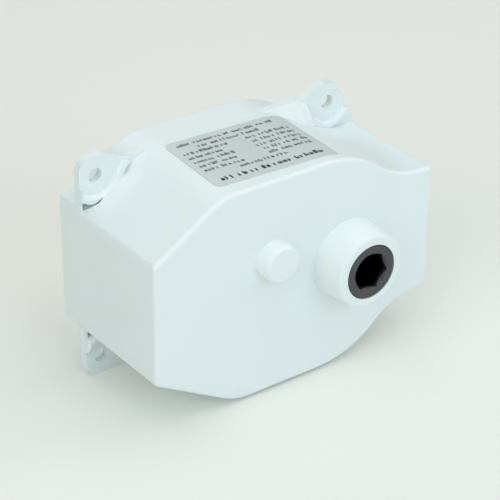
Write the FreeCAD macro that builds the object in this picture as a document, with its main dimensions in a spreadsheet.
import FreeCAD, Part
import math
import os
import Sketcher

# A motorised actuator head: a white housing with four mounting ears, a black drive hub in a front
# boss, a three-stage gear train, a synchronous motor, a position sensor and a control board.
# Working axes: x from the housing's left wall, y from its front face towards the rear, and z from
# the output axis.  Every sub-part is then placed so that the origin is the middle of the base.

DOC = FreeCAD.newDocument("actuator_head")
V = FreeCAD.Vector
FULL_TURN = 360.0
MAX_FACET = 5

SIZES = {
    # housing outline
    "body_length": 108.0,
    "body_depth": 52.9,
    "wall": 2.4,
    "draft_angle": 0.3,
    "left_top": 20.76,
    "left_bottom": 21.09,
    "top_height": 36.48,
    "base_height": 38.29,
    "top_left_x": 24.81,
    "top_right_x": 76.13,
    "top_foot_x": 93.74,
    "top_foot": 22.74,
    "right_top": 22.2,
    "base_left_x": 30.11,
    "base_right_x": 76.78,
    "base_foot_x": 95.81,
    "base_foot": 20.69,
    "right_bottom": 22.02,
    "shoulder_radius": 20.5,
    "top_slope_radius": 34.0,
    "top_foot_radius": 32.0,
    "base_slope_radius": 35.5,
    "base_foot_radius": 25.0,
    "left_corner_radius": 2.0,
    "right_corner_radius": 1.4,
    "front_edge_radius": 1.3,
    "rear_edge_radius": 0.8,
    # output boss and hub
    "output_x": 73.89,
    "boss_height": 11.72,
    "boss_rim": 12.5,
    "boss_base": 13.75,
    "boss_edge_radius": 1.3,
    "boss_inside": 8.0,
    "hub_radius": 9.2,
    "mouth_gap": 0.2,
    "mouth_depth": 3.2,
    "bush_wall": 1.54,
    "journal_gap": 0.05,
    "hub_shoulder": 11.6,
    "hub_journal": 6.0,
    "hub_tail": 5.0,
    "hub_end": 36.0,
    "socket_corner": 6.6,
    "socket_depth": 16.0,
    "socket_turn": -9.3,
    # small blind boss and the third axle
    "axle_three_x": 44.28,
    "axle_three_z": 9.18,
    "small_boss_height": 5.4,
    "small_boss_face": 6.16,
    "small_boss_base": 6.7,
    "small_boss_edge": 1.2,
    "small_boss_inside": 9.0,
    "axle_three_radius": 2.0,
    # mounting ears
    "ear_front": 40.6,
    "ear_thickness": 2.85,
    "ear_hole_radius": 2.45,
    "ear_left_x": 5.73,
    "ear_right_x": 96.33,
    "ear_height": 32.75,
    "ear_reach": 6.5,
    "ear_rib_inner": 6.6,
    "ear_rib_outer": 9.4,
    "ear_rib_rise": 2.0,
    "ear_rib_edge": 1.1,
    "undercut_depth": 1.5,
    # rating label
    "label_length": 43.6,
    "label_width": 32.7,
    "label_corner": 2.7,
    "label_sharp_corner": 1.0,
    "label_x": 50.1,
    "label_y": 21.25,
    "label_turn": -2.9,
    "label_thickness": 0.15,
    # rear closure
    "cover_thickness": 2.5,
    "cover_lip": 1.1,
    "cover_gap": 0.15,
    "gasket_thickness": 1.0,
    "cover_boss_radius": 3.4,
    "cover_screw_radius": 1.4,
    "cover_screw_head": 2.8,
    # gear plate
    "plate_front": 28.0,
    "plate_thickness": 1.5,
    "plate_post_radius": 3.2,
    "plate_screw_radius": 1.4,
    "plate_screw_head": 2.8,
    # gears
    "output_teeth": 50,
    "output_module": 1.0,
    "third_wheel_teeth": 48,
    "third_wheel_module": 0.8,
    "second_wheel_teeth": 40,
    "second_wheel_module": 0.7,
    "pinion_teeth": 12,
    "tooth_backlash": 0.09,
    "pinion_shift": 0.3,
    "axle_two_radius": 1.5,
    # motor
    "motor_radius": 21.0,
    "motor_front": 29.5,
    "motor_rear": 46.0,
    "motor_ear_reach": 25.0,
    "motor_ear_angle": 120.0,
    "motor_screw_radius": 1.3,
    "can_wall": 0.8,
    "rotor_radius": 9.0,
    "rotor_shaft_radius": 1.0,
    # position sensor
    "sensor_teeth": 24,
    "sensor_module": 0.8,
    "sensor_angle": 78.0,
    "sensor_gear_front": 30.8,
    "sensor_gear_width": 3.0,
    "sensor_radius": 8.0,
    "sensor_front": 36.0,
    "sensor_shaft_radius": 2.5,
    # control board
    "board_front": 43.0,
    "board_thickness": 1.6,
    "header_x": 82.0,
    "header_length": 16.0,
    "header_width": 8.5,
    "header_height": 7.8,
}


class Dim:
    """A size that knows both its number and the sheet expression that gives it."""

    def __init__(self, value, text=None):
        self.value = float(value)
        self.text = text or repr(float(value))

    def join(self, other, sign, value):
        return Dim(value, f"({self.text} {sign} {other.text})")

    def __add__(self, other):
        other = as_dim(other)
        return self.join(other, "+", self.value + other.value)

    def __sub__(self, other):
        other = as_dim(other)
        return self.join(other, "-", self.value - other.value)

    def __mul__(self, other):
        other = as_dim(other)
        return self.join(other, "*", self.value * other.value)

    def __truediv__(self, other):
        other = as_dim(other)
        return self.join(other, "/", self.value / other.value)

    def __radd__(self, other):
        return as_dim(other) + self

    def __rsub__(self, other):
        return as_dim(other) - self

    def __rmul__(self, other):
        return as_dim(other) * self

    def __neg__(self):
        return Dim(-self.value, f"(-1 * {self.text})")


def as_dim(value):
    return value if isinstance(value, Dim) else Dim(value)


class Sheet:
    """The spreadsheet of driving sizes, read as attributes that are Dims."""

    def __init__(self, sizes):
        self.sizes = sizes
        sheet = DOC.addObject("Spreadsheet::Sheet", "Sizes")
        for row, (name, value) in enumerate(sizes.items(), start=1):
            sheet.set(f"A{row}", str(value))
            sheet.setAlias(f"A{row}", name)
        DOC.recompute()

    def __getattr__(self, name):
        return Dim(self.sizes[name], f"Sizes.{name}")


S = Sheet(SIZES)
PARTS = []


# ---------------------------------------------------------------- helpers

def bind(thing, prop, size):
    """Drive a property from the sheet."""
    size = as_dim(size)
    thing.setExpression(prop, size.text)


def place(thing, x=0.0, y=0.0, z=0.0):
    """Move a sub-part from the working axes to the frame at the middle of the base."""
    origin = (S.body_length / 2, (S.body_depth - S.boss_height) / 2, -(S.ear_height + S.ear_reach))
    for axis, where, shift in zip("xyz", (x, y, z), origin):
        bind(thing, f"Placement.Base.{axis}", as_dim(where) - shift)


def new_body(label, x=0.0, y=0.0, z=0.0):
    """A PartDesign body for one sub-part, with its own origin at x, y, z of the working axes."""
    body = DOC.addObject("PartDesign::Body", label)
    body.Label = label
    place(body, x, y, z)
    PARTS.append(body)
    return body


def origin_plane(body, role):
    return next(item for item in body.Origin.OriginFeatures if item.Role == role)


def new_sketch(body, role, offset=(0.0, 0.0, 0.0)):
    """A sketch on one of the body's planes; offset is in the sketch's own right, up and out axes."""
    sketch = body.newObject("Sketcher::SketchObject", "Sketch")
    sketch.AttachmentSupport = [(origin_plane(body, role), "")]
    sketch.MapMode = "FlatFace"
    for axis, size in zip("xyz", offset):
        bind(sketch, f"AttachmentOffset.Base.{axis}", size)
    return sketch


def front_sketch(body, depth=0.0):
    """A sketch seen from the front, x to the right and z up, at the given depth."""
    return new_sketch(body, "XZ_Plane", (0.0, 0.0, -as_dim(depth)))


def fix_point(sketch, geometry, point, where):
    """Hold a sketch point at two coordinates, driven from the sheet where they come from it."""
    for kind, size in zip(("DistanceX", "DistanceY"), where):
        size = as_dim(size)
        index = sketch.addConstraint(Sketcher.Constraint(kind, -1, 1, geometry, point, size.value))
        if "Sizes" in size.text:
            sketch.setExpression(f"Constraints[{index}]", size.text)


def fix_radius(sketch, geometry, radius):
    radius = as_dim(radius)
    index = sketch.addConstraint(Sketcher.Constraint("Radius", geometry, radius.value))
    if "Sizes" in radius.text:
        sketch.setExpression(f"Constraints[{index}]", radius.text)


def flat(point):
    return V(as_dim(point[0]).value, as_dim(point[1]).value, 0)


def corner_arc(before, corner, after, radius):
    """Where a rounding leaves and joins the two straight sides, and its centre."""
    if radius == 0:
        return corner, corner, None
    back = (before - corner).normalize()
    ahead = (after - corner).normalize()
    half = back.getAngle(ahead) / 2
    reach = radius / math.tan(half)
    centre = corner + (back + ahead).normalize() * (radius / math.sin(half))
    return corner + back * reach, corner + ahead * reach, centre


def add_arc(sketch, start, end, centre):
    """An arc between two points; also says whether it runs from start to end anticlockwise."""
    first = start - centre
    last = end - centre
    forward = first.x * last.y - first.y * last.x > 0
    angles = [math.atan2(first.y, first.x), math.atan2(last.y, last.x)]
    if not forward:
        angles.reverse()
    if angles[1] < angles[0]:
        angles[1] += 2 * math.pi
    circle = Part.Circle(centre, V(0, 0, 1), first.Length)
    return sketch.addGeometry(Part.ArcOfCircle(circle, *angles), False), forward


def rounded_outline(sketch, corners):
    """A closed outline of straight sides whose corners (x, up, radius) are rounded by arcs."""
    points = [flat(corner) for corner in corners]
    radii = [as_dim(corner[2]) if len(corner) > 2 else Dim(0) for corner in corners]
    count = len(points)
    joints = []
    for i in range(count):
        joints.append(corner_arc(points[i - 1], points[i], points[(i + 1) % count], radii[i].value))
    lines = []
    for i in range(count):
        segment = Part.LineSegment(joints[i][1], joints[(i + 1) % count][0])
        lines.append(sketch.addGeometry(segment, False))
    for i in range(count):
        before, after = lines[i - 1], lines[i]
        leave, join, centre = joints[i]
        if centre is None:
            sketch.addConstraint(Sketcher.Constraint("Coincident", before, 2, after, 1))
            fix_point(sketch, after, 1, corners[i][:2])
            continue
        arc, forward = add_arc(sketch, leave, join, centre)
        first, last = (1, 2) if forward else (2, 1)
        sketch.addConstraint(Sketcher.Constraint("Tangent", before, 2, arc, first))
        sketch.addConstraint(Sketcher.Constraint("Tangent", arc, last, after, 1))
        apex = sketch.addGeometry(Part.Point(points[i]), True)
        sketch.addConstraint(Sketcher.Constraint("PointOnObject", apex, 1, before))
        sketch.addConstraint(Sketcher.Constraint("PointOnObject", apex, 1, after))
        fix_radius(sketch, arc, radii[i])
        fix_point(sketch, apex, 1, corners[i][:2])


def box_outline(sketch, left, low, right, high, radius=0.0):
    corners = [(left, low, radius), (right, low, radius), (right, high, radius), (left, high, radius)]
    rounded_outline(sketch, corners)


def circle(sketch, x, up, radius):
    radius = as_dim(radius)
    index = sketch.addGeometry(Part.Circle(flat((x, up)), V(0, 0, 1), radius.value), False)
    fix_radius(sketch, index, radius)
    fix_point(sketch, index, 3, (x, up))


def finish_feature(body, feature, grows):
    """Recompute, and make sure that the feature really added or removed material."""
    base = feature.BaseFeature
    before = base.Shape.Volume if base else 0.0
    DOC.recompute()
    change = feature.Shape.Volume - before
    if (change > 0) != grows or abs(change) < 1e-6:
        raise RuntimeError(f"{body.Label}: {feature.Name} changed the volume by {change:.4f}")
    return feature


def pad(body, sketch, length, rearward=True, draft=None):
    feature = body.newObject("PartDesign::Pad", "Pad")
    feature.Profile = sketch
    feature.Reversed = rearward
    bind(feature, "Length", length)
    if draft is not None:
        bind(feature, "TaperAngle", draft)
    return finish_feature(body, feature, True)


def pocket(body, sketch, length, rearward=True):
    feature = body.newObject("PartDesign::Pocket", "Pocket")
    feature.Profile = sketch
    feature.Reversed = not rearward
    bind(feature, "Length", length)
    return finish_feature(body, feature, False)


def turned(body, profile, kind="PartDesign::Revolution", x=0.0, z=0.0):
    """Material, or a groove, turned about the y axis through x, z from (radius, depth) corners."""
    sketch = new_sketch(body, "XY_Plane", (x, 0.0, z))
    rounded_outline(sketch, profile)
    feature = body.newObject(kind, kind.split("::")[1])
    feature.Profile = sketch
    feature.ReferenceAxis = (sketch, ["V_Axis"])
    feature.Angle = FULL_TURN
    return finish_feature(body, feature, kind.endswith("Revolution"))


def ring_profile(inner, outer, front, rear):
    return [(inner, front), (outer, front), (outer, rear), (inner, rear)]


def edge_names(feature, wanted):
    """Names of the feature's edges whose end points all satisfy a test."""
    names = []
    for i, edge in enumerate(feature.Shape.Edges, start=1):
        if wanted(edge):
            names.append(f"Edge{i}")
    if not names:
        raise RuntimeError(f"no edges found on {feature.Name}")
    return names


def soften(body, wanted, radius, kind="PartDesign::Fillet"):
    """Round, or bevel, the edges of the body's tip that satisfy a test."""
    base = body.Tip
    feature = body.newObject(kind, kind.split("::")[1])
    feature.Base = (base, edge_names(base, wanted))
    bind(feature, "Radius" if kind.endswith("Fillet") else "Size", radius)
    DOC.recompute()
    return feature


def repeat_about_y(body, features, count):
    """Repeat features evenly about the body's own y axis."""
    pattern = body.newObject("PartDesign::PolarPattern", "PolarPattern")
    pattern.Originals = features
    axis = next(item for item in body.Origin.OriginFeatures if item.Role == "Y_Axis")
    pattern.Axis = (axis, [""])
    pattern.Angle = FULL_TURN
    pattern.Occurrences = count
    body.Tip = pattern
    DOC.recompute()
    return pattern


def solid_feature(label, shape, x=0.0, y=0.0, z=0.0):
    """A sub-part, or a group of equal fasteners, whose shape is made directly."""
    thing = DOC.addObject("Part::Feature", label)
    thing.Label = label
    thing.Shape = shape
    place(thing, x, y, z)
    PARTS.append(thing)
    return thing


def rod(radius, front, rear, x=0.0, z=0.0):
    """A cylinder along y."""
    radius, front, rear = as_dim(radius), as_dim(front), as_dim(rear)
    start = V(as_dim(x).value, front.value, as_dim(z).value)
    return Part.makeCylinder(radius.value, rear.value - front.value, start, V(0, 1, 0))


def block(x, y, z):
    """A box from three (low, high) pairs."""
    low = V(*[as_dim(pair[0]).value for pair in (x, y, z)])
    high = V(*[as_dim(pair[1]).value for pair in (x, y, z)])
    return Part.makeBox(high.x - low.x, high.y - low.y, high.z - low.z, low)


# ---------------------------------------------------------------- the outline

OUTLINE = [
    (Dim(0), S.left_top, Dim(0)),
    (S.top_left_x, S.top_height, S.shoulder_radius),
    (S.top_right_x, S.top_height, S.top_slope_radius),
    (S.top_foot_x, S.top_foot, -S.top_foot_radius),
    (S.body_length, S.right_top, Dim(0)),
    (S.body_length, -S.right_bottom, Dim(0)),
    (S.base_foot_x, -S.base_foot, -S.base_foot_radius),
    (S.base_right_x, -S.base_height, S.base_slope_radius),
    (S.base_left_x, -S.base_height, S.shoulder_radius),
    (Dim(0), -S.left_bottom, Dim(0)),
]


def housing_outline(inset=0.0):
    """The outline moved inwards by an inset; hollow corners have a negative radius in OUTLINE."""
    inset = as_dim(inset)
    points = [flat(corner) for corner in OUTLINE]
    count = len(points)
    corners = []
    for i, (x, up, radius) in enumerate(OUTLINE):
        ahead = (points[(i + 1) % count] - points[i]).normalize()
        behind = (points[i] - points[i - 1]).normalize()
        inward = V(ahead.y, -ahead.x, 0) + V(behind.y, -behind.x, 0)
        inward = inward * (2 / inward.dot(inward))
        if radius.value == 0:
            rounding = radius
        else:
            rounding = radius - inset if radius.value > 0 else inset - radius
        corners.append((x + inset * inward.x, up + inset * inward.y, rounding))
    return corners


# ---------------------------------------------------------------- ears

PLATE_POSTS = [(8.5, 12.0), (8.0, -15.0), (101.0, 13.0), (101.0, -13.0), (57.0, 30.6)]
COVER_SCREWS = [(5.0, 12.5), (5.0, -13.0), (103.0, 14.0), (103.0, -14.0), (42.0, 31.5), (69.0, -33.3)]
AXLE_TWO_ANGLE = math.atan2(-0.6, -0.8)
MOTOR_ANGLE = math.atan2(-0.28, 0.96)


def upper_left_ear():
    """Front view: a rounded square lobe that runs down to the body's shoulder."""
    top = S.ear_height + S.ear_reach
    return [
        (0.0, S.left_top - 3.0),
        (0.0, top, 4.7),
        (S.ear_left_x + 3.6, top, 6.0),
        (S.ear_left_x + 12.0, S.top_height - 0.8, 8.0),
        (S.top_left_x + 5.0, S.top_height - 0.5),
        (S.top_left_x + 5.0, S.left_top - 3.0),
    ]


def lower_left_ear():
    """Like the upper one, but its lower edge runs level until it meets the body."""
    low = -(S.ear_height + S.ear_reach)
    return [
        (0.0, 3.0 - S.left_bottom),
        (0.0, low, 4.3),
        (S.ear_left_x + 11.5, low),
        (S.base_left_x - 1.0, 0.3 - S.base_height),
        (S.base_left_x + 2.0, 3.0 - S.base_height),
        (S.base_left_x + 2.0, 3.0 - S.left_bottom),
    ]


def upper_right_ear():
    """A lobe with a steep outer side, joined to the body by a web level with the top face."""
    right = S.ear_right_x
    return [
        (S.top_right_x - 10.0, S.top_height - 5.0),
        (S.top_right_x - 10.0, S.top_height - 0.05),
        (right - 9.6, S.top_height - 0.05, 3.0),
        (right - 1.5, S.ear_height + 7.3, 3.5),
        (right + 3.6, S.ear_height + 6.0, 3.2),
        (S.body_length - 0.1, S.right_top + 1.9),
        (S.body_length - 0.1, S.right_top - 2.0),
        (right - 9.6, S.right_top - 2.0),
    ]


def lower_right_ear():
    """The same below, with a level lower edge."""
    right = S.ear_right_x
    low = -(S.ear_height + S.ear_reach)
    return [
        (S.base_right_x - 10.0, 5.0 - S.base_height),
        (S.base_right_x - 10.0, 0.2 - S.base_height),
        (right - 9.0, low, 3.0),
        (right + 3.2, low, 4.6),
        (S.body_length - 0.1, -S.right_bottom - 1.9),
        (S.body_length - 0.1, 2.0 - S.right_bottom),
        (right - 9.6, 2.0 - S.right_bottom),
    ]


def polar(x, up, radius, degrees):
    angle = math.radians(degrees)
    return V(x + radius * math.cos(angle), up + radius * math.sin(angle), 0)


def curved_rib(sketch, x, side, start, end, tail):
    """A band round the hole between two angles that may run on straight for a length."""
    x, inner, outer = as_dim(x), S.ear_rib_inner, S.ear_rib_outer
    height = S.ear_height * side
    centre = V(x.value, height.value, 0)
    bounds = []
    for radius in (inner.value, outer.value):
        low, high = [polar(centre.x, centre.y, radius, angle * side) for angle in (start, end)]
        bounds.append((low, high))
    turn = math.radians(end * side + 90 * side)
    run = V(math.cos(turn), math.sin(turn), 0) * tail
    (inner_low, inner_high), (outer_low, outer_high) = bounds
    inner_arc, inner_way = add_arc(sketch, inner_low, inner_high, centre)
    outer_arc, outer_way = add_arc(sketch, outer_low, outer_high, centre)
    closing = [(outer_low, inner_low)]
    if tail:
        closing += [(inner_high, inner_high + run), (inner_high + run, outer_high + run)]
        closing.append((outer_high + run, outer_high))
    else:
        closing.append((inner_high, outer_high))
    lines = [sketch.addGeometry(Part.LineSegment(*ends), False) for ends in closing]
    for arc, radius in ((inner_arc, inner), (outer_arc, outer)):
        fix_radius(sketch, arc, radius)
        fix_point(sketch, arc, 3, (x, height))
    inner_ends = (1, 2) if inner_way else (2, 1)
    outer_ends = (1, 2) if outer_way else (2, 1)
    sketch.addConstraint(Sketcher.Constraint("Coincident", lines[0], 1, outer_arc, outer_ends[0]))
    sketch.addConstraint(Sketcher.Constraint("Coincident", lines[0], 2, inner_arc, inner_ends[0]))
    for before, after in zip(lines[1:], lines[2:]):
        sketch.addConstraint(Sketcher.Constraint("Coincident", before, 2, after, 1))
    sketch.addConstraint(Sketcher.Constraint("Coincident", lines[1], 1, inner_arc, inner_ends[1]))
    sketch.addConstraint(Sketcher.Constraint("Coincident", lines[-1], 2, outer_arc, outer_ends[1]))


def add_wedge(body, side):
    """The slanting wedge that carries the flat top, or the base, across to a right-hand ear."""
    height = S.top_height - 0.05 if side > 0 else -S.base_height + 0.05
    depth = S.ear_front + 1.0
    corners = [(68.0, height - 11.0 * side), (68.0, height), (84.6, height, 1.0)]
    corners += [(88.3, height - 1.9 * side, 0.6), (91.2, height - 11.0 * side)]
    sketch = front_sketch(body, depth)
    rounded_outline(sketch, corners)
    feature = body.newObject("PartDesign::Pad", "Pad")
    feature.Profile = sketch
    feature.UseCustomVector = True
    feature.Direction = V(-0.42, -0.907, -0.2 * side)
    feature.AlongSketchNormal = False
    bind(feature, "Length", 33.0)
    finish_feature(body, feature, True)


def add_web(body, side, x, foot, crest, width, reach):
    """A small triangular web behind an ear plate."""
    rear = S.ear_front + S.ear_thickness
    sketch = new_sketch(body, "YZ_Plane", (0.0, 0.0, x))
    corners = [(rear - 0.3, foot), (rear - 0.3, crest), (rear, crest), (rear + reach, foot + 1.6)]
    corners.append((rear + reach, foot))
    rounded_outline(sketch, [(depth, as_dim(up) * side) for depth, up in corners])
    feature = body.newObject("PartDesign::Pad", "Pad")
    feature.Profile = sketch
    bind(feature, "Length", width)
    finish_feature(body, feature, True)


def add_corner_block(body):
    """The low block behind the upper left ear that raises the body's rear corner."""
    start = S.ear_front + S.ear_thickness - 0.3
    sketch = front_sketch(body, start)
    corners = [(0.0, S.left_top - 3.0), (0.0, S.left_top + 2.3), (6.2, S.left_top + 3.9)]
    rounded_outline(sketch, corners + [(6.2, S.left_top - 3.0)])
    pad(body, sketch, S.body_depth - 0.6 - start)


def cut_ear_undercut(body, side):
    """The part of the undercut below a left-hand rib that goes into the ear's plate."""
    sketch = front_sketch(body, S.ear_front)
    corners = [(0.9, 19.0), (0.9, 24.5), (3.0, 23.6), (4.6, 23.3), (6.5, 23.2), (6.5, 19.0)]
    rounded_outline(sketch, [(x, up * side) for x, up in corners])
    pocket(body, sketch, 1.9)


def undercut(side):
    """The part of the undercut that goes into the body's slanting skin, as a cutting prism."""
    foot, rise, run = S.left_top, S.top_height - S.left_top, S.top_left_x
    if side < 0:
        foot, rise, run = S.left_bottom, S.base_height - S.left_bottom, S.base_left_x
    slope = rise.value / run.value
    level = foot.value - SIZES["undercut_depth"]
    plan = [(1.0, 41.0), (2.45, 39.8), (5.1, 38.0), (6.9, 38.3), (7.2, 41.0)]
    corners = [V(x, y, (level + slope * x) * side) for x, y in plan]
    return Part.Face(Part.makePolygon(corners + corners[:1])).extrude(V(0, 0, 6.0 * side))


def rib_edge(edge):
    """An edge of a rib's front face."""
    front = SIZES["ear_front"] - SIZES["ear_rib_rise"]
    return all(abs(vertex.Point.y - front) < 1e-3 for vertex in edge.Vertexes)


def mounting_ear(label, side, outline, form):
    """One of the four ears, moulded on the body: it ends where it meets the body's outer form."""
    left = "left" in label
    x = S.ear_left_x if left else S.ear_right_x
    blank = DOC.addObject("PartDesign::Body", f"{label}_blank")
    sketch = front_sketch(blank, S.ear_front)
    rounded_outline(sketch, outline())
    pad(blank, sketch, S.ear_thickness)
    rib = front_sketch(blank, S.ear_front - S.ear_rib_rise)
    curved_rib(rib, x, side, *((-158.0, -29.0, 7.4) if left else (-146.0, -26.0, 0.0)))
    pad(blank, rib, S.ear_rib_rise + 0.4)
    if left:
        trim = front_sketch(blank, S.ear_front - 4.0)
        box_outline(trim, -6.0, 45.0 * min(side, 0), 0.0, 45.0 * max(side, 0))
        pocket(blank, trim, 8.0)
    soften(blank, rib_edge, S.ear_rib_edge)
    hole = front_sketch(blank, S.ear_front - 0.5)
    circle(hole, x, S.ear_height * side, S.ear_hole_radius)
    pocket(blank, hole, S.ear_thickness + 1.0)
    if left:
        cut_ear_undercut(blank, side)
        add_web(blank, side, 15.4, 28.0, 36.4, 2.0, 6.4)
        if side > 0:
            add_corner_block(blank)
    else:
        add_wedge(blank, side)
    DOC.recompute()
    ear = DOC.addObject("Part::Cut", label)
    ear.Label = label
    ear.Base = blank
    ear.Tool = form
    ear.Refine = True
    place(ear)
    PARTS.append(ear)


def mounting_ears():
    form = DOC.addObject("PartDesign::Body", "outer_form")
    add_outer_form(form)
    mounting_ear("ear_upper_left", 1, upper_left_ear, form)
    mounting_ear("ear_lower_left", -1, lower_left_ear, form)
    mounting_ear("ear_upper_right", 1, upper_right_ear, form)
    mounting_ear("ear_lower_right", -1, lower_right_ear, form)


# ---------------------------------------------------------------- housing

def parallel_to_depth(edge):
    ends = [vertex.Point for vertex in edge.Vertexes]
    return len(ends) == 2 and abs(ends[0].y - ends[1].y) > SIZES["body_depth"] - 1


def on_left_corner(edge):
    return parallel_to_depth(edge) and max(vertex.Point.x for vertex in edge.Vertexes) < 0.5


def on_right_corner(edge):
    least = min(vertex.Point.x for vertex in edge.Vertexes)
    return parallel_to_depth(edge) and least > SIZES["body_length"] - 0.5


def on_front(edge):
    return all(abs(vertex.Point.y) < 1e-3 for vertex in edge.Vertexes)


def ring_edge_at(depth, radius, x, z):
    """A test for a circular edge about a y axis."""
    def test(edge):
        curve = edge.Curve
        if not isinstance(curve, Part.Circle):
            return False
        centre = curve.Center
        near = abs(centre.y - depth) < 0.01 and abs(curve.Radius - radius) < 0.01
        return near and abs(centre.x - x) < 0.01 and abs(centre.z - z) < 0.01
    return test


def on_rear(edge):
    rear = SIZES["body_depth"]
    return all(abs(vertex.Point.y - rear) < 1e-3 for vertex in edge.Vertexes)


def add_outer_form(body):
    """The solid outer form of the body with its draft and rounded edges."""
    shell = front_sketch(body)
    rounded_outline(shell, [(x, up, abs_radius(radius)) for x, up, radius in OUTLINE])
    pad(body, shell, S.body_depth, draft=S.draft_angle)
    soften(body, on_left_corner, S.left_corner_radius)
    soften(body, on_right_corner, S.right_corner_radius)
    soften(body, on_front, S.front_edge_radius)
    soften(body, on_rear, S.rear_edge_radius)


def housing():
    """The white shell: front and side walls round a cavity that is open to the rear."""
    body = DOC.addObject("PartDesign::Body", "housing_shell")
    add_outer_form(body)
    cavity = front_sketch(body, S.wall)
    rounded_outline(cavity, housing_outline(S.wall))
    pocket(body, cavity, S.body_depth)
    rebate = front_sketch(body, S.body_depth - S.cover_thickness - S.gasket_thickness)
    rounded_outline(rebate, housing_outline(S.cover_lip))
    pocket(body, rebate, S.body_depth)
    holes = front_sketch(body, -1.0)
    circle(holes, S.output_x, 0.0, S.boss_base)
    circle(holes, S.axle_three_x, S.axle_three_z, S.small_boss_base)
    pocket(body, holes, S.wall + 2.0)
    tool = DOC.addObject("Part::Feature", "undercuts")
    tool.Shape = Part.makeCompound([undercut(1), undercut(-1)])
    shell = DOC.addObject("Part::Cut", "housing")
    shell.Label = "housing"
    shell.Base = body
    shell.Tool = tool
    place(shell)
    PARTS.append(shell)


def abs_radius(radius):
    return radius if radius.value >= 0 else -radius


def output_boss():
    """The tapered boss round the hub, with a narrow mouth and the bush's seat."""
    body = new_body("output_boss", S.output_x)
    mouth = S.hub_radius + S.mouth_gap
    seat = S.hub_radius + S.journal_gap + S.bush_wall
    seat_front = S.mouth_depth - S.boss_height
    profile = [
        (mouth, -S.boss_height),
        (S.boss_rim, -S.boss_height, S.boss_edge_radius),
        (S.boss_base, 0.0),
        (S.boss_base, S.wall),
        (S.boss_base - 0.6, S.boss_inside),
        (seat, S.boss_inside),
        (seat, seat_front),
        (mouth, seat_front),
    ]
    turned(body, profile)


def axle_boss():
    """The small blind boss that holds the front end of the third axle."""
    body = new_body("axle_boss", S.axle_three_x, 0.0, S.axle_three_z)
    profile = [
        (0.0, -S.small_boss_height),
        (S.small_boss_face, -S.small_boss_height, S.small_boss_edge),
        (S.small_boss_base, 0.0),
        (S.small_boss_base, S.wall),
        (S.small_boss_base - 1.2, S.small_boss_inside),
        (S.axle_three_radius, S.small_boss_inside),
        (S.axle_three_radius, -3.0),
        (0.0, -3.0),
    ]
    turned(body, profile)


def axle_two():
    """Centre of the second axle, one gear centre distance from the third."""
    reach = (S.third_wheel_teeth + S.pinion_teeth) * S.third_wheel_module / 2
    x = S.axle_three_x + reach * math.cos(AXLE_TWO_ANGLE)
    return x, S.axle_three_z + reach * math.sin(AXLE_TWO_ANGLE)


def motor_axis():
    """Centre of the motor, one gear centre distance from the second axle."""
    reach = (S.second_wheel_teeth + S.pinion_teeth) * S.second_wheel_module / 2
    x, z = axle_two()
    return x + reach * math.cos(MOTOR_ANGLE), z + reach * math.sin(MOTOR_ANGLE)


def inside_walls(label, shapes, cavity):
    """A group of posts, cut to the cavity's outline where they stand against the walls."""
    blank = DOC.addObject("Part::Feature", f"{label}_blank")
    blank.Shape = Part.makeCompound(shapes)
    group = DOC.addObject("Part::Common", label)
    group.Label = label
    group.Base = blank
    group.Tool = cavity
    place(group)
    PARTS.append(group)


def inner_posts():
    """Posts for the second axle and the gear plate, and the bosses that take the cover screws."""
    rear = S.body_depth - S.cover_thickness - S.gasket_thickness
    cavity = DOC.addObject("PartDesign::Body", "cavity_form")
    sketch = front_sketch(cavity, S.wall)
    rounded_outline(sketch, housing_outline(S.wall))
    pad(cavity, sketch, rear - S.wall)
    x, z = axle_two()
    posts = [rod(4.5, S.wall, 16.6, x, z).cut(rod(S.axle_two_radius, 8.0, 18.0, x, z))]
    for x, z in PLATE_POSTS:
        post = rod(S.plate_post_radius, S.wall, S.plate_front, x, z)
        posts.append(post.cut(rod(S.plate_screw_radius, 18.0, 30.0, x, z)))
    inside_walls("gear_posts", posts, cavity)
    bosses = []
    for x, z in COVER_SCREWS:
        boss = rod(S.cover_boss_radius, 34.0, rear, x, z)
        bosses.append(boss.cut(rod(S.cover_screw_radius, 38.0, 60.0, x, z)))
    inside_walls("cover_bosses", bosses, cavity)


# ---------------------------------------------------------------- output shaft

def hexagon(sketch):
    """The drive socket's hexagon, with its corners slightly rounded."""
    corners = []
    for i in range(6):
        angle = math.radians(SIZES["socket_turn"] - 60 * i)
        corners.append((S.socket_corner * math.cos(angle), S.socket_corner * math.sin(angle), 0.25))
    rounded_outline(sketch, corners)


KEY = (3.0, 7.6, 10.6)


def output_hub():
    """The black hub: hexagon socket, front journal, gear seat with keyway, rear journal, tail."""
    body = new_body("output_hub", S.output_x)
    front = -S.boss_height
    shoulder = S.boss_inside + 0.3
    seat = shoulder + 1.6
    journal = seat + 7.4
    tail = S.sensor_gear_front - 0.1
    profile = [
        (0.0, front),
        (S.hub_radius, front),
        (S.hub_radius, shoulder),
        (S.hub_shoulder, shoulder),
        (S.hub_shoulder, seat),
        (9.0, seat),
        (9.0, journal),
        (S.hub_journal, journal),
        (S.hub_journal, tail),
        (S.hub_tail, tail),
        (S.hub_tail, S.hub_end),
        (0.0, S.hub_end),
    ]
    turned(body, profile)
    socket = front_sketch(body, front)
    hexagon(socket)
    pocket(body, socket, S.socket_depth)
    mouth = [(0.0, front - 0.5), (S.socket_corner + 0.5, front - 0.5), (0.0, front + S.socket_corner)]
    turned(body, mouth, "PartDesign::Groove")
    rim = ring_edge_at(-SIZES["boss_height"], SIZES["hub_radius"], 0.0, 0.0)
    soften(body, rim, 0.3, "PartDesign::Chamfer")
    keyway = front_sketch(body, seat)
    box_outline(keyway, -KEY[0] / 2, KEY[1], KEY[0] / 2, 9.4)
    pocket(body, keyway, 7.0)
    groove = ring_profile(4.2, 5.6, 34.0, 34.8)
    turned(body, groove, "PartDesign::Groove")
    return body


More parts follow.
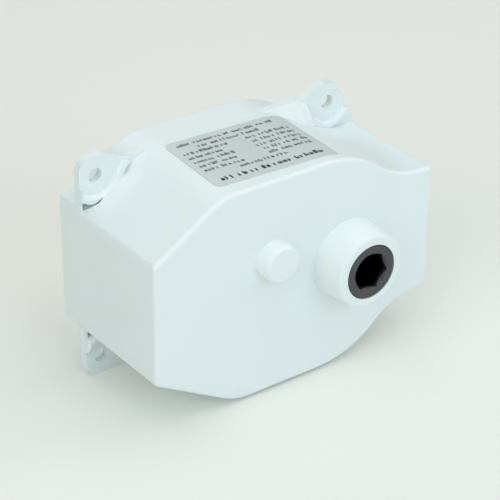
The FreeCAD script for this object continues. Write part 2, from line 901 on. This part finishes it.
def simple_ring(label, inner, outer, front, rear, x, z=0.0):
    body = new_body(label, x, 0.0, z)
    turned(body, ring_profile(inner, outer, front, rear))
    return body


def retaining_ring():
    """An open spring ring in the groove of the hub's tail."""
    ring = rod(7.6, 34.05, 34.75).cut(rod(4.25, 34.0, 35.0))
    ring = ring.cut(block((-3.2, 3.2), (34.0, 35.0), (-9.0, 0.0)))
    solid_feature("hub_retaining_ring", ring, S.output_x)


# ---------------------------------------------------------------- gears

def involute(angle):
    return math.tan(angle) - angle


def gear_shape(teeth, module, shift, front, rear, heading):
    """A spur gear about y with a tooth, or for a pinion a gap, centred on a heading in degrees."""
    pressure = math.radians(20)
    pitch = module * teeth / 2
    base = pitch * math.cos(pressure)
    tip = pitch + module * (1 + shift)
    root = pitch - module * (1.25 - shift)
    thick = module * (math.pi / 2 + 2 * shift * math.tan(pressure)) - SIZES["tooth_backlash"] / 2
    half_pitch = thick / (2 * pitch)
    low = max(base, root)
    flank = []
    for i in range(MAX_FACET):
        radius = low + (tip - low) * i / (MAX_FACET - 1)
        slope = math.acos(min(1.0, base / radius))
        flank.append((radius, half_pitch + involute(pressure) - involute(slope)))
    if root < base:
        flank.insert(0, (root, flank[0][1]))
    points = []
    for tooth in range(teeth):
        centre = math.radians(heading) + 2 * math.pi * tooth / teeth
        for radius, half in flank:
            points.append((radius, centre - half))
        for radius, half in reversed(flank):
            points.append((radius, centre + half))
    corners = [V(r * math.cos(a), front, r * math.sin(a)) for r, a in points]
    corners.append(corners[0])
    face = Part.Face(Part.makePolygon(corners))
    return face.extrude(V(0, rear - front, 0))


def heading_between(start, end):
    """Direction in degrees, in the front view, from one axis to another."""
    across = as_dim(end[0]).value - as_dim(start[0]).value
    up = as_dim(end[1]).value - as_dim(start[1]).value
    return math.degrees(math.atan2(up, across))


def output_gear():
    """The large sintered wheel on the hub, keyed to it, with both faces relieved."""
    heading = heading_between((S.output_x, 0), (S.axle_three_x, S.axle_three_z))
    front, rear = 10.0, 17.0
    teeth, module = int(SIZES["output_teeth"]), SIZES["output_module"]
    shape = gear_shape(teeth, module, -SIZES["pinion_shift"], front, rear, heading)
    shape = shape.cut(rod(9.0, front - 1, rear + 1))
    for low, high in ((front - 1, front + 1.4), (rear - 1.4, rear + 1)):
        shape = shape.cut(rod(20.5, low, high).cut(rod(12.6, low, high)))
    keyway = block((-KEY[0] / 2, KEY[0] / 2), (front - 1, rear + 1), (0.0, KEY[2]))
    solid_feature("output_gear", shape.cut(keyway), S.output_x)
    key = block((-KEY[0] / 2, KEY[0] / 2), (front, rear - 0.2), (KEY[1], KEY[2]))
    solid_feature("gear_key", key, S.output_x)


def cluster(label, place_at, wheel, pinion, hub, bore):
    """A wheel and a pinion moulded as one on a hub that runs on a fixed axle."""
    shape = gear_shape(*wheel)
    shape = shape.fuse(gear_shape(*pinion))
    shape = shape.fuse(rod(*hub))
    shape = shape.cut(rod(bore, hub[1] - 5, hub[2] + 15)).removeSplitter()
    shape = shape.cut(rod(bore, -5, 60))
    return solid_feature(label, shape, place_at[0], 0.0, place_at[1])


def gear_train():
    """The output wheel, the two clusters and the motor pinion, in mesh at rest."""
    output_gear()
    output, three = (S.output_x, 0), (S.axle_three_x, S.axle_three_z)
    two, motor = axle_two(), motor_axis()
    shift = SIZES["pinion_shift"]
    teeth = int(SIZES["pinion_teeth"])
    gap = 180.0 / teeth
    wheel = (48, SIZES["third_wheel_module"], -shift, 18.5, 22.5, heading_between(three, two))
    pinion = (teeth, SIZES["output_module"], shift, 9.9, 18.6, heading_between(three, output) + gap)
    cluster("third_gear", three, wheel, pinion, (4.2, 9.6, 27.4), 2.05)
    wheel = (40, SIZES["second_wheel_module"], -shift, 23.5, 26.5, heading_between(two, motor))
    pinion = (teeth, SIZES["third_wheel_module"], shift, 17.6, 23.6, heading_between(two, three) + gap)
    cluster("second_gear", two, wheel, pinion, (3.2, 17.0, 27.4), 1.55)
    module = SIZES["second_wheel_module"]
    shape = gear_shape(teeth, module, shift, 23.1, 27.3, heading_between(motor, two) + gap)
    shape = shape.cut(rod(S.rotor_shaft_radius, 20, 30))
    solid_feature("motor_pinion", shape, motor[0], 0.0, motor[1])
    sensor_gears()


def sensor_axis():
    """Centre of the position sensor, one gear centre distance from the output axis."""
    reach = S.sensor_teeth * S.sensor_module
    angle = math.radians(SIZES["sensor_angle"])
    return S.output_x + reach * math.cos(angle), reach * math.sin(angle)


def sensor_gears():
    """The equal gears on the hub's tail and on the position sensor's shaft."""
    teeth, module = int(SIZES["sensor_teeth"]), SIZES["sensor_module"]
    front, rear = SIZES["sensor_gear_front"], SIZES["sensor_gear_front"] + SIZES["sensor_gear_width"]
    heading = SIZES["sensor_angle"]
    wheel = gear_shape(teeth, module, 0.0, front, rear, heading).cut(rod(S.hub_tail, 20, 40))
    solid_feature("sensor_drive_gear", wheel, S.output_x)
    x, z = sensor_axis()
    driven = gear_shape(teeth, module, 0.0, front + 0.2, rear - 0.2, heading + 180.0 * (1 + 1 / teeth))
    driven = driven.cut(rod(S.sensor_shaft_radius, 20, 40))
    solid_feature("sensor_gear", driven, x, 0.0, z)
    axle("sensor_shaft", (x, z), S.sensor_shaft_radius, front + 0.1, 40.0)


def axle(label, at, radius, front, rear):
    body = new_body(label, at[0], 0.0, at[1])
    turned(body, [(0.0, front), (radius, front), (radius, rear), (0.0, rear)])
    soften(body, lambda edge: isinstance(edge.Curve, Part.Circle), 0.2, "PartDesign::Chamfer")


# ---------------------------------------------------------------- gear plate and fasteners

def gear_plate():
    """The steel plate that closes the gear space and carries the motor and the board."""
    body = new_body("gear_plate")
    sketch = front_sketch(body, S.plate_front)
    corners = [
        (4.0, -18.0, 3.0), (4.0, 17.0, 3.0), (26.0, 31.0, 4.0), (40.0, 33.2, 4.0), (68.0, 33.2, 8.0),
        (88.0, 20.8, 6.0), (104.0, 17.6, 3.0), (104.0, -17.0, 3.0), (91.0, -18.0, 4.0), (73.0, -34.6, 8.0),
        (32.0, -34.4, 4.0),
    ]
    rounded_outline(sketch, corners)
    motor = motor_axis()
    circle(sketch, S.output_x, 0.0, S.hub_journal + 1.6)
    circle(sketch, motor[0], motor[1], 5.5)
    circle(sketch, S.axle_three_x, S.axle_three_z, S.axle_three_radius)
    two = axle_two()
    circle(sketch, two[0], two[1], S.axle_two_radius)
    for x, z in PLATE_POSTS:
        circle(sketch, x, z, S.plate_screw_radius + 0.2)
    for x, z in motor_ears():
        circle(sketch, x, z, S.motor_screw_radius)
    for x, z in STANDOFFS:
        circle(sketch, x, z, 1.2)
    pad(body, sketch, S.plate_thickness)
    return body


STANDOFFS = [(67.0, 27.4), (94.5, 9.5), (94.5, -9.5), (69.5, -21.5)]


def motor_ears():
    """Centres of the motor's two fixing ears."""
    x, z = motor_axis()
    angle = math.radians(SIZES["motor_ear_angle"])
    across, along = S.motor_ear_reach * math.cos(angle), S.motor_ear_reach * math.sin(angle)
    return [(x + across, z + along), (x - across, z - along)]


def pan_screw(x, z, shank, head, tip, seat, rise=1.8):
    """A pan-head screw along y with a cross recess; its head stands behind the seat."""
    shape = rod(shank, tip, seat, x, z).fuse(rod(head, seat, seat + rise, x, z))
    arm = head * 0.55
    centre_x, centre_z = as_dim(x).value, as_dim(z).value
    depth = (seat + rise - 0.9, seat + rise + 1)
    for wide, high in ((arm, 0.35), (0.35, arm)):
        across = (centre_x - wide, centre_x + wide)
        shape = shape.cut(block(across, depth, (centre_z - high, centre_z + high)))
    return shape


def screw_group(label, places, shank, head, tip, seat, rise=1.8):
    shapes = [pan_screw(x, z, shank, head, tip, seat, rise) for x, z in places]
    solid_feature(label, Part.makeCompound(shapes))


def fasteners():
    """The screw groups and the standoffs that carry the board."""
    rear = SIZES["plate_front"] + SIZES["plate_thickness"]
    screw_group("gear_plate_screws", PLATE_POSTS, 1.35, 2.8, 19.0, rear)
    screw_group("motor_screws", motor_ears(), 1.25, 2.5, 27.6, 31.0, 1.6)
    board_rear = SIZES["board_front"] + SIZES["board_thickness"]
    screw_group("board_screws", STANDOFFS, 1.15, 2.3, 38.2, board_rear, 1.4)
    seat = SIZES["body_depth"] - 1.2
    screw_group("cover_screws", COVER_SCREWS, 1.35, 2.8, 40.0, seat - 0.7, 1.6)
    posts = []
    for x, z in STANDOFFS:
        post = rod(2.4, rear, SIZES["board_front"], x, z).fuse(rod(1.2, rear - 1.5, rear + 1, x, z))
        posts.append(post.cut(rod(1.2, 38.0, 50.0, x, z)))
    solid_feature("board_standoffs", Part.makeCompound(posts))


# ---------------------------------------------------------------- rear cover and gasket

def rear_cover():
    """The lid in the housing's rebate, with sunk screw seats and the connector's opening."""
    body = new_body("rear_cover")
    front = S.body_depth - S.cover_thickness
    sketch = front_sketch(body, front)
    rounded_outline(sketch, housing_outline(S.cover_lip + S.cover_gap))
    pad(body, sketch, S.cover_thickness)
    sketch = front_sketch(body, front - S.gasket_thickness)
    for x, z in COVER_SCREWS:
        circle(sketch, x, z, 2.3)
    pad(body, sketch, S.gasket_thickness + 0.2)
    sketch = front_sketch(body, front - 2.0)
    for x, z in COVER_SCREWS:
        circle(sketch, x, z, S.cover_screw_radius + 0.2)
    pocket(body, sketch, 10.0)
    sketch = front_sketch(body, front + 0.6)
    for x, z in COVER_SCREWS:
        circle(sketch, x, z, S.cover_screw_head + 0.3)
    pocket(body, sketch, 10.0)
    sketch = front_sketch(body, front - 2.0)
    half_x, half_z = S.header_length / 2 + 0.4, S.header_width / 2 + 0.4
    box_outline(sketch, S.header_x - half_x, -half_z, S.header_x + half_x, half_z, 0.8)
    pocket(body, sketch, 10.0)
    return body


def cover_gasket():
    """The flat seal on the ledge under the cover's edge."""
    body = new_body("cover_gasket")
    front = S.body_depth - S.cover_thickness - S.gasket_thickness
    sketch = front_sketch(body, front)
    rounded_outline(sketch, housing_outline(S.cover_lip + S.cover_gap))
    pad(body, sketch, S.gasket_thickness)
    sketch = front_sketch(body, front - 1.0)
    rounded_outline(sketch, housing_outline(S.wall))
    pocket(body, sketch, 5.0)
    sketch = front_sketch(body, front - 1.0)
    for x, z in COVER_SCREWS:
        circle(sketch, x, z, 2.5)
    pocket(body, sketch, 5.0)
    return body


# ---------------------------------------------------------------- label

def rating_label():
    """A thin label lying on the top face, which rises slightly rearward with the mould's draft."""
    length, width, thick = S.label_length, S.label_width, S.label_thickness
    body = new_body("rating_label", S.label_x, S.label_y, S.top_height)
    sketch = new_sketch(body, "XY_Plane")
    right, rear, corner = length / 2, width / 2, S.label_corner
    corners = [(-right, -rear, corner), (right, -rear, S.label_sharp_corner), (right, rear, corner)]
    rounded_outline(sketch, corners + [(-right, rear, corner)])
    feature = body.newObject("PartDesign::Pad", "Pad")
    feature.Profile = sketch
    bind(feature, "Length", thick)
    finish_feature(body, feature, True)
    draft = math.radians(SIZES["draft_angle"])
    turn = FreeCAD.Rotation(V(0, 0, 1), SIZES["label_turn"])
    body.Placement.Rotation = FreeCAD.Rotation(V(1, 0, 0), SIZES["draft_angle"]).multiply(turn)
    lift = SIZES["label_y"] * math.tan(draft) + 0.004
    place(body, S.label_x, S.label_y, S.top_height + lift)


# ---------------------------------------------------------------- motor

def motor():
    """The synchronous motor: can, pole plates, coil, bearings and rotor."""
    x, z = motor_axis()
    front, rear, wall = S.motor_front, S.motor_rear, S.can_wall
    radius = S.motor_radius
    motor_mounting_plate(x, z)
    can = new_body("motor_can", x, 0.0, z)
    inside = radius - wall
    profile = [
        (3.0, rear - wall), (3.0, rear), (radius, rear, 1.6), (radius, front + 1.5),
        (inside, front + 1.5), (inside, rear - wall, 0.8),
    ]
    turned(can, profile)
    pole_plate("front_pole_plate", x, z, front + 1.7, 1)
    pole_plate("rear_pole_plate", x, z, rear - wall - 0.2, -1)
    bobbin = new_body("coil_bobbin", x, 0.0, z)
    low, high = front + 2.7, rear - wall - 1.2
    profile = [
        (10.8, low), (19.6, low), (19.6, low + 0.8), (11.7, low + 0.8), (11.7, high - 0.8),
        (19.6, high - 0.8), (19.6, high), (10.8, high),
    ]
    turned(bobbin, profile)
    simple_ring("coil_winding", 11.7, 19.0, low + 0.8, high - 0.8, x, z)
    simple_ring("front_motor_bearing", S.rotor_shaft_radius + 0.04, 3.0, front - 0.9, front + 2.2, x, z)
    simple_ring("rear_motor_bearing", S.rotor_shaft_radius + 0.04, 3.0, rear - 2.4, rear + 0.6, x, z)
    simple_ring("rotor_magnet", 6.8, S.rotor_radius, 32.8, 43.2, x, z)
    core = new_body("rotor_core", x, 0.0, z)
    profile = [
        (S.rotor_shaft_radius, 34.0), (2.6, 34.0), (2.6, 36.4), (6.8, 36.4), (6.8, 38.4), (2.6, 38.4),
        (2.6, 42.0), (S.rotor_shaft_radius, 42.0),
    ]
    turned(core, profile)
    axle("rotor_shaft", (x, z), S.rotor_shaft_radius, 23.4, 46.8)


def motor_mounting_plate(x, z):
    """The motor's front plate with its bearing seat, pilot and two slanted ears."""
    body = new_body("motor_front_plate", x, 0.0, z)
    turned(body, ring_profile(3.0, S.motor_radius, S.motor_front, S.motor_front + 1.5))
    angle = math.radians(SIZES["motor_ear_angle"])
    sketch = front_sketch(body, S.motor_front)
    reach, half = 28.4, 3.4
    ends = []
    for along, across in ((-reach, -half), (reach, -half), (reach, half), (-reach, half)):
        right = along * math.cos(angle) - across * math.sin(angle)
        up = along * math.sin(angle) + across * math.cos(angle)
        ends.append((right, up, 3.2))
    rounded_outline(sketch, ends)
    pad(body, sketch, 1.5)
    sketch = front_sketch(body, S.motor_front - 1.0)
    circle(sketch, 0.0, 0.0, 3.0)
    across, up = S.motor_ear_reach * math.cos(angle), S.motor_ear_reach * math.sin(angle)
    circle(sketch, across, up, S.motor_screw_radius + 0.2)
    circle(sketch, -across, -up, S.motor_screw_radius + 0.2)
    pocket(body, sketch, 5.0)


def pole_plate(label, x, z, face, direction):
    """A pressed pole plate with six claws that reach along the rotor between the other plate's."""
    body = new_body(label, x, 0.0, z)
    other = face + 0.8 * direction
    low, high = (face, other) if direction > 0 else (other, face)
    turned(body, ring_profile(9.5, 19.8, low, high))
    sketch = front_sketch(body, other)
    turn = math.radians(0.0 if direction > 0 else 30.0)
    corners = []
    for right, up in ((-1.7, 9.55), (1.7, 9.55), (1.5, 10.6), (-1.5, 10.6)):
        across = right * math.cos(turn) - up * math.sin(turn)
        along = right * math.sin(turn) + up * math.cos(turn)
        corners.append((across, along))
    rounded_outline(sketch, corners)
    claw = pad(body, sketch, 10.2, rearward=direction > 0)
    repeat_about_y(body, [claw], 6)


# ---------------------------------------------------------------- sensor and board

def position_sensor():
    """The round position sensor on the control board, turned by the hub through equal gears."""
    x, z = sensor_axis()
    case = new_body("sensor_case", x, 0.0, z)
    front, rear = S.sensor_front, S.board_front
    bore = S.sensor_shaft_radius + S.journal_gap
    profile = [
        (bore, front - 1.6), (4.2, front - 1.6), (4.2, front), (S.sensor_radius, front, 0.6),
        (S.sensor_radius, rear), (0.0, rear), (0.0, 40.4), (bore, 40.4),
    ]
    turned(case, profile)
    pins = []
    centre = V(x.value, 0, z.value)
    for shift in (-2.5, 0.0, 2.5):
        across, depth = (centre.x + shift - 0.3, centre.x + shift + 0.3), (43.0, 45.6)
        pins.append(block(across, depth, (centre.z - 6.6, centre.z - 6.2)))
    solid_feature("sensor_terminals", Part.makeCompound(pins))


def control_board():
    """The printed board, the connector that shows through the cover, and the motor's capacitor."""
    body = new_body("control_board")
    sketch = front_sketch(body, S.board_front)
    corners = [(64.6, -24.0, 1.0), (64.6, 29.8, 1.0), (75.0, 29.8, 1.0), (97.5, 12.5, 1.0),
               (97.5, -12.5, 1.0), (86.0, -24.0, 1.0)]
    rounded_outline(sketch, corners)
    for x, z in STANDOFFS:
        circle(sketch, x, z, 1.4)
    pad(body, sketch, S.board_thickness)
    sketch = front_sketch(body, S.board_front - 1.0)
    x, z = sensor_axis()
    for shift in (-2.5, 0.0, 2.5):
        box_outline(sketch, x + shift - 0.35, z - 6.65, x + shift + 0.35, z - 6.15)
    pocket(body, sketch, 4.0)
    rear = SIZES["board_front"] + SIZES["board_thickness"]
    left, top = SIZES["header_x"] - SIZES["header_length"] / 2, SIZES["header_width"] / 2
    header = new_body("power_header", left, rear, 0.0)
    sketch = front_sketch(header)
    box_outline(sketch, 0.0, -top, S.header_length, top, 0.5)
    pad(header, sketch, S.header_height)
    sketch = front_sketch(header, 1.6)
    box_outline(sketch, 1.0, 1.0 - top, S.header_length - 1.0, top - 1.0, 0.3)
    pocket(header, sketch, 10.0)
    pins = []
    for i in range(5):
        x = left + 2.8 + 2.6 * i
        pins.append(block((x - 0.32, x + 0.32), (rear + 1.6, rear + 6.4), (-0.32, 0.32)))
    solid_feature("header_pins", Part.makeCompound(pins))
    capacitor = new_body("motor_capacitor", 76.0, 34.6, -20.5)
    sketch = front_sketch(capacitor)
    box_outline(sketch, 0.0, 0.0, 13.0, 6.0, 0.8)
    pad(capacitor, sketch, S.board_front - 34.6)


# ---------------------------------------------------------------- build, check and write

def build():
    housing()
    output_boss()
    axle_boss()
    inner_posts()
    mounting_ears()
    rating_label()
    seat = S.hub_radius + S.journal_gap
    simple_ring("hub_bush", seat, seat + S.bush_wall, S.mouth_depth - S.boss_height, 7.6, S.output_x)
    rear_cover()
    cover_gasket()
    output_hub()
    retaining_ring()
    gear_train()
    axle("third_axle", (S.axle_three_x, S.axle_three_z), S.axle_three_radius, -2.8, 29.5)
    axle("second_axle", axle_two(), S.axle_two_radius, 8.2, 29.5)
    gear_plate()
    plate_bush = new_body("plate_bush", S.output_x)
    inner, outer = S.hub_journal + S.journal_gap, S.hub_journal + 1.6
    rear = S.plate_front + S.plate_thickness
    profile = [(inner, 26.8), (9.2, 26.8), (9.2, S.plate_front), (outer, S.plate_front),
               (outer, rear + 0.9), (inner, rear + 0.9)]
    turned(plate_bush, profile)
    motor()
    position_sensor()
    control_board()
    fasteners()


def check_document():
    """Stop if any object failed, or a sub-part is empty or invalid."""
    DOC.recompute()
    for thing in DOC.Objects:
        if "Invalid" in thing.State or "Error" in thing.State:
            raise RuntimeError(f"{thing.Name} failed: {thing.State}")
    for part in PARTS:
        shape = part.Shape
        if shape.isNull() or not shape.isValid() or not shape.Solids:
            raise RuntimeError(f"{part.Label} has no valid solid")


def write_parts():
    os.makedirs("parts", exist_ok=True)
    for part in PARTS:
        part.Shape.exportStep(f"parts/{part.Label}.step")


build()
check_document()
write_parts()
print(len(PARTS), "sub-parts written")
